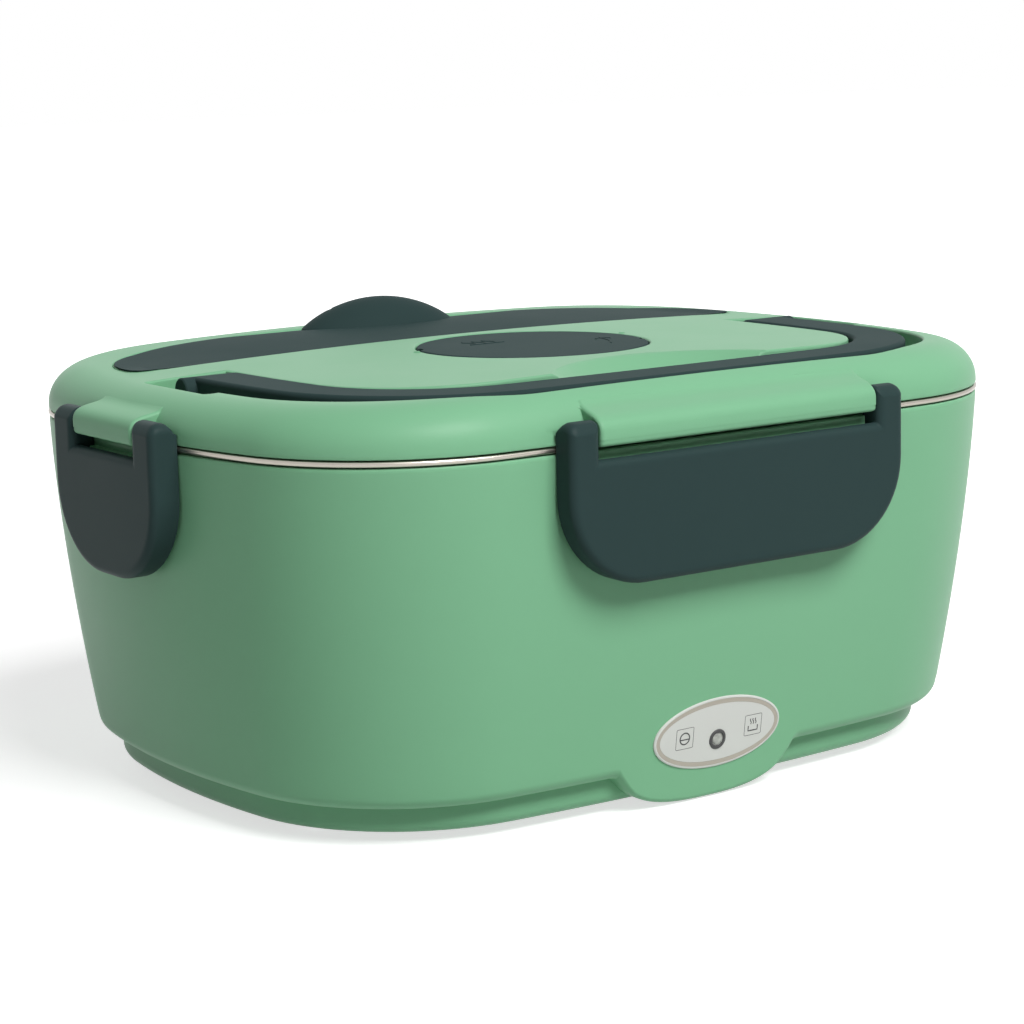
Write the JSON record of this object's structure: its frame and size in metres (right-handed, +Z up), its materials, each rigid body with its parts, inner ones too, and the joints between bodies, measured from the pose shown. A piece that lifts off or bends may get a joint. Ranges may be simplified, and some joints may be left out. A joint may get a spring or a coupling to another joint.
{
  "type": "electric lunch box",
  "caption": "portable electric lunch box with a heated base, a lift-out steel container, four hinged clip latches, a folding handle and a lid with a cutlery compartment",
  "frame": {"origin": "on the table under the middle of the box", "axes": "+Z up; -Y towards the side with the badge; +X to the right when that side is faced, along the box's length"},
  "size_m": [0.248, 0.194, 0.1178],
  "materials": {
    "green_plastic": "satin moulded polypropylene",
    "slate_plastic": "satin moulded polypropylene",
    "white_plastic": "plain moulded",
    "grey_plastic": "satin printed",
    "black_plastic": "fine grain",
    "foot_rubber": "matte",
    "silicone": "translucent silicone",
    "container_steel": "brushed",
    "zinc_steel": "zinc plated",
    "cast_aluminium": "fine blasted",
    "pin_brass": "plain",
    "wool_felt": "ceramic fibre felt",
    "lens_grey": "clear, unlit",
    "led_resin": "tinted clear resin, unlit",
    "board_green": "solder mask",
    "wire_brown": "insulated wire",
    "wire_blue": "insulated wire",
    "wire_red": "insulated wire",
    "wire_white": "insulated wire"
  },
  "bodies": {
    "base": {"outer_shell": "green_plastic", "heating_well": "white_plastic", "base_cover": "green_plastic", "rubber_feet": "foot_rubber", "base_screws": "zinc_steel", "heating_plate": "cast_aluminium", "plate_screws": "zinc_steel", "ptc_heater": "cast_aluminium", "heater_clamp": "zinc_steel", "clamp_screws": "zinc_steel", "thermostat": "black_plastic", "thermal_fuse": "white_plastic", "fuse_clip": "zinc_steel", "insulation_pad": "wool_felt", "power_inlet": "black_plastic", "inlet_pins": "pin_brass", "lamp_badge": "grey_plastic", "lamp_lens": "lens_grey", "lamp_led": "led_resin", "lamp_board": "board_green", "wire_live": "wire_brown", "wire_neutral": "wire_blue", "heater_wires": "wire_red", "lamp_leads": "wire_white"},
    "container": {"steel_container": "container_steel"},
    "lid": {"lid_shell": "green_plastic", "inner_lid": "white_plastic", "lid_seal": "silicone", "vent_washer": "silicone"},
    "disc": {"vent_disc": "slate_plastic", "vent_retainer": "slate_plastic"},
    "carry_handle": {"handle": "slate_plastic"},
    "front_latch": {"latch_front": "slate_plastic"},
    "back_latch": {"latch_back": "slate_plastic"},
    "left_latch": {"latch_left": "slate_plastic"},
    "right_latch": {"latch_right": "slate_plastic"},
    "cutlery_lid": {"cutlery_cover": "slate_plastic"}
  },
  "joints": [
    {"name": "lid_lift", "type": "slide", "parent": "base", "child": "lid", "axis": [0, 0, 1], "range_m": [0, 0.18]},
    {"name": "container_lift", "type": "slide", "parent": "base", "child": "container", "axis": [0, 0, 1], "range_m": [0, 0.09]},
    {"name": "latch_front", "type": "hinge", "parent": "lid", "child": "front_latch", "pos_m": [0, -0.0935, 0.0984], "axis": [-1, 0, 0], "range_deg": [0, 100]},
    {"name": "latch_back", "type": "hinge", "parent": "lid", "child": "back_latch", "pos_m": [0, 0.0935, 0.0984], "axis": [1, 0, 0], "range_deg": [0, 100]},
    {"name": "latch_left", "type": "hinge", "parent": "lid", "child": "left_latch", "pos_m": [-0.1205, 0, 0.0984], "axis": [0, 1, 0], "range_deg": [0, 100]},
    {"name": "latch_right", "type": "hinge", "parent": "lid", "child": "right_latch", "pos_m": [0.1205, 0, 0.0984], "axis": [0, -1, 0], "range_deg": [0, 100]},
    {"name": "handle_fold", "type": "hinge", "parent": "lid", "child": "carry_handle", "pos_m": [0, 0.002, 0.105], "axis": [-1, 0, 0], "range_deg": [0, 90]},
    {"name": "cutlery_cover_open", "type": "hinge", "parent": "lid", "child": "cutlery_lid", "pos_m": [0, 0.0293, 0.1083], "axis": [1, 0, 0], "range_deg": [0, 95]},
    {"name": "vent_turn", "type": "hinge", "parent": "lid", "child": "disc", "pos_m": [0, -0.009, 0.108], "axis": [0, 0, -1], "range_deg": [0, 60]}
  ],
  "couplings": [
    {"joint": "container_lift", "follows": "lid_lift", "ratio": 0.5}
  ]
}
